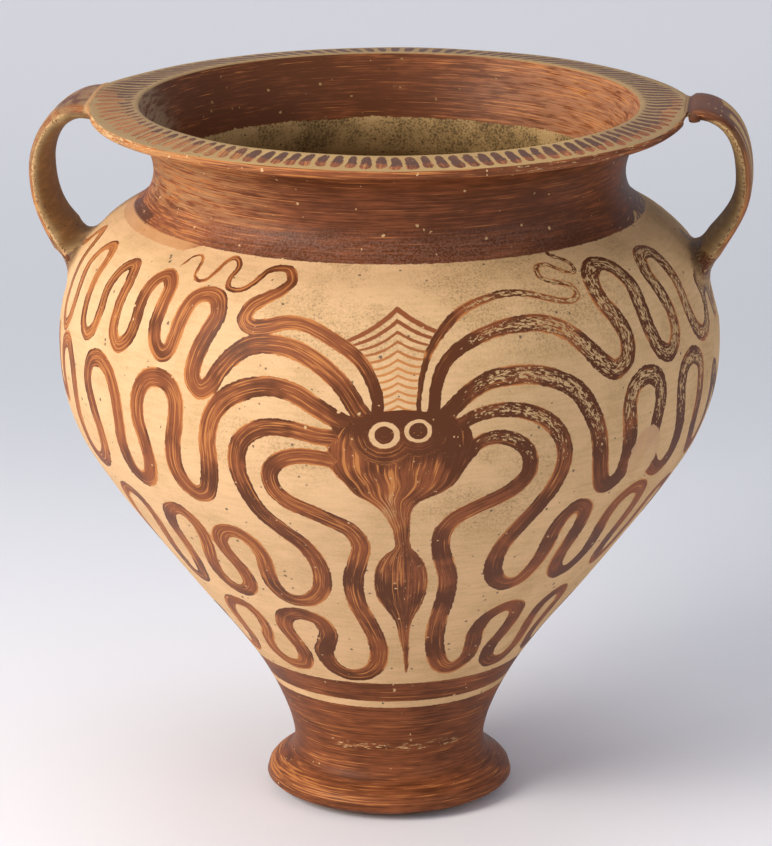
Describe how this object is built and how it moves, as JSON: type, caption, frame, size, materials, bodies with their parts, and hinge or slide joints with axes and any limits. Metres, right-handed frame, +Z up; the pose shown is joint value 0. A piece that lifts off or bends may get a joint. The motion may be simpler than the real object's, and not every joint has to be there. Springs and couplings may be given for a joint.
{
  "type": "mycenaean krater",
  "caption": "Footed clay krater with a deep hollow bowl, a wide flat rim and strap handles, painted with an octopus; a vessel for mixing and serving wine.",
  "frame": {"origin": "centre of the foot, on the surface that the vessel stands on", "axes": "+Z up along the turning axis, handles on +X and -X, the painted front with the octopus towards -Y"},
  "size_m": [0.344, 0.3176, 0.3449],
  "materials": {
    "painted_clay": "satin"
  },
  "bodies": {
    "root": {"krater": "painted_clay"}
  },
  "joints": []
}
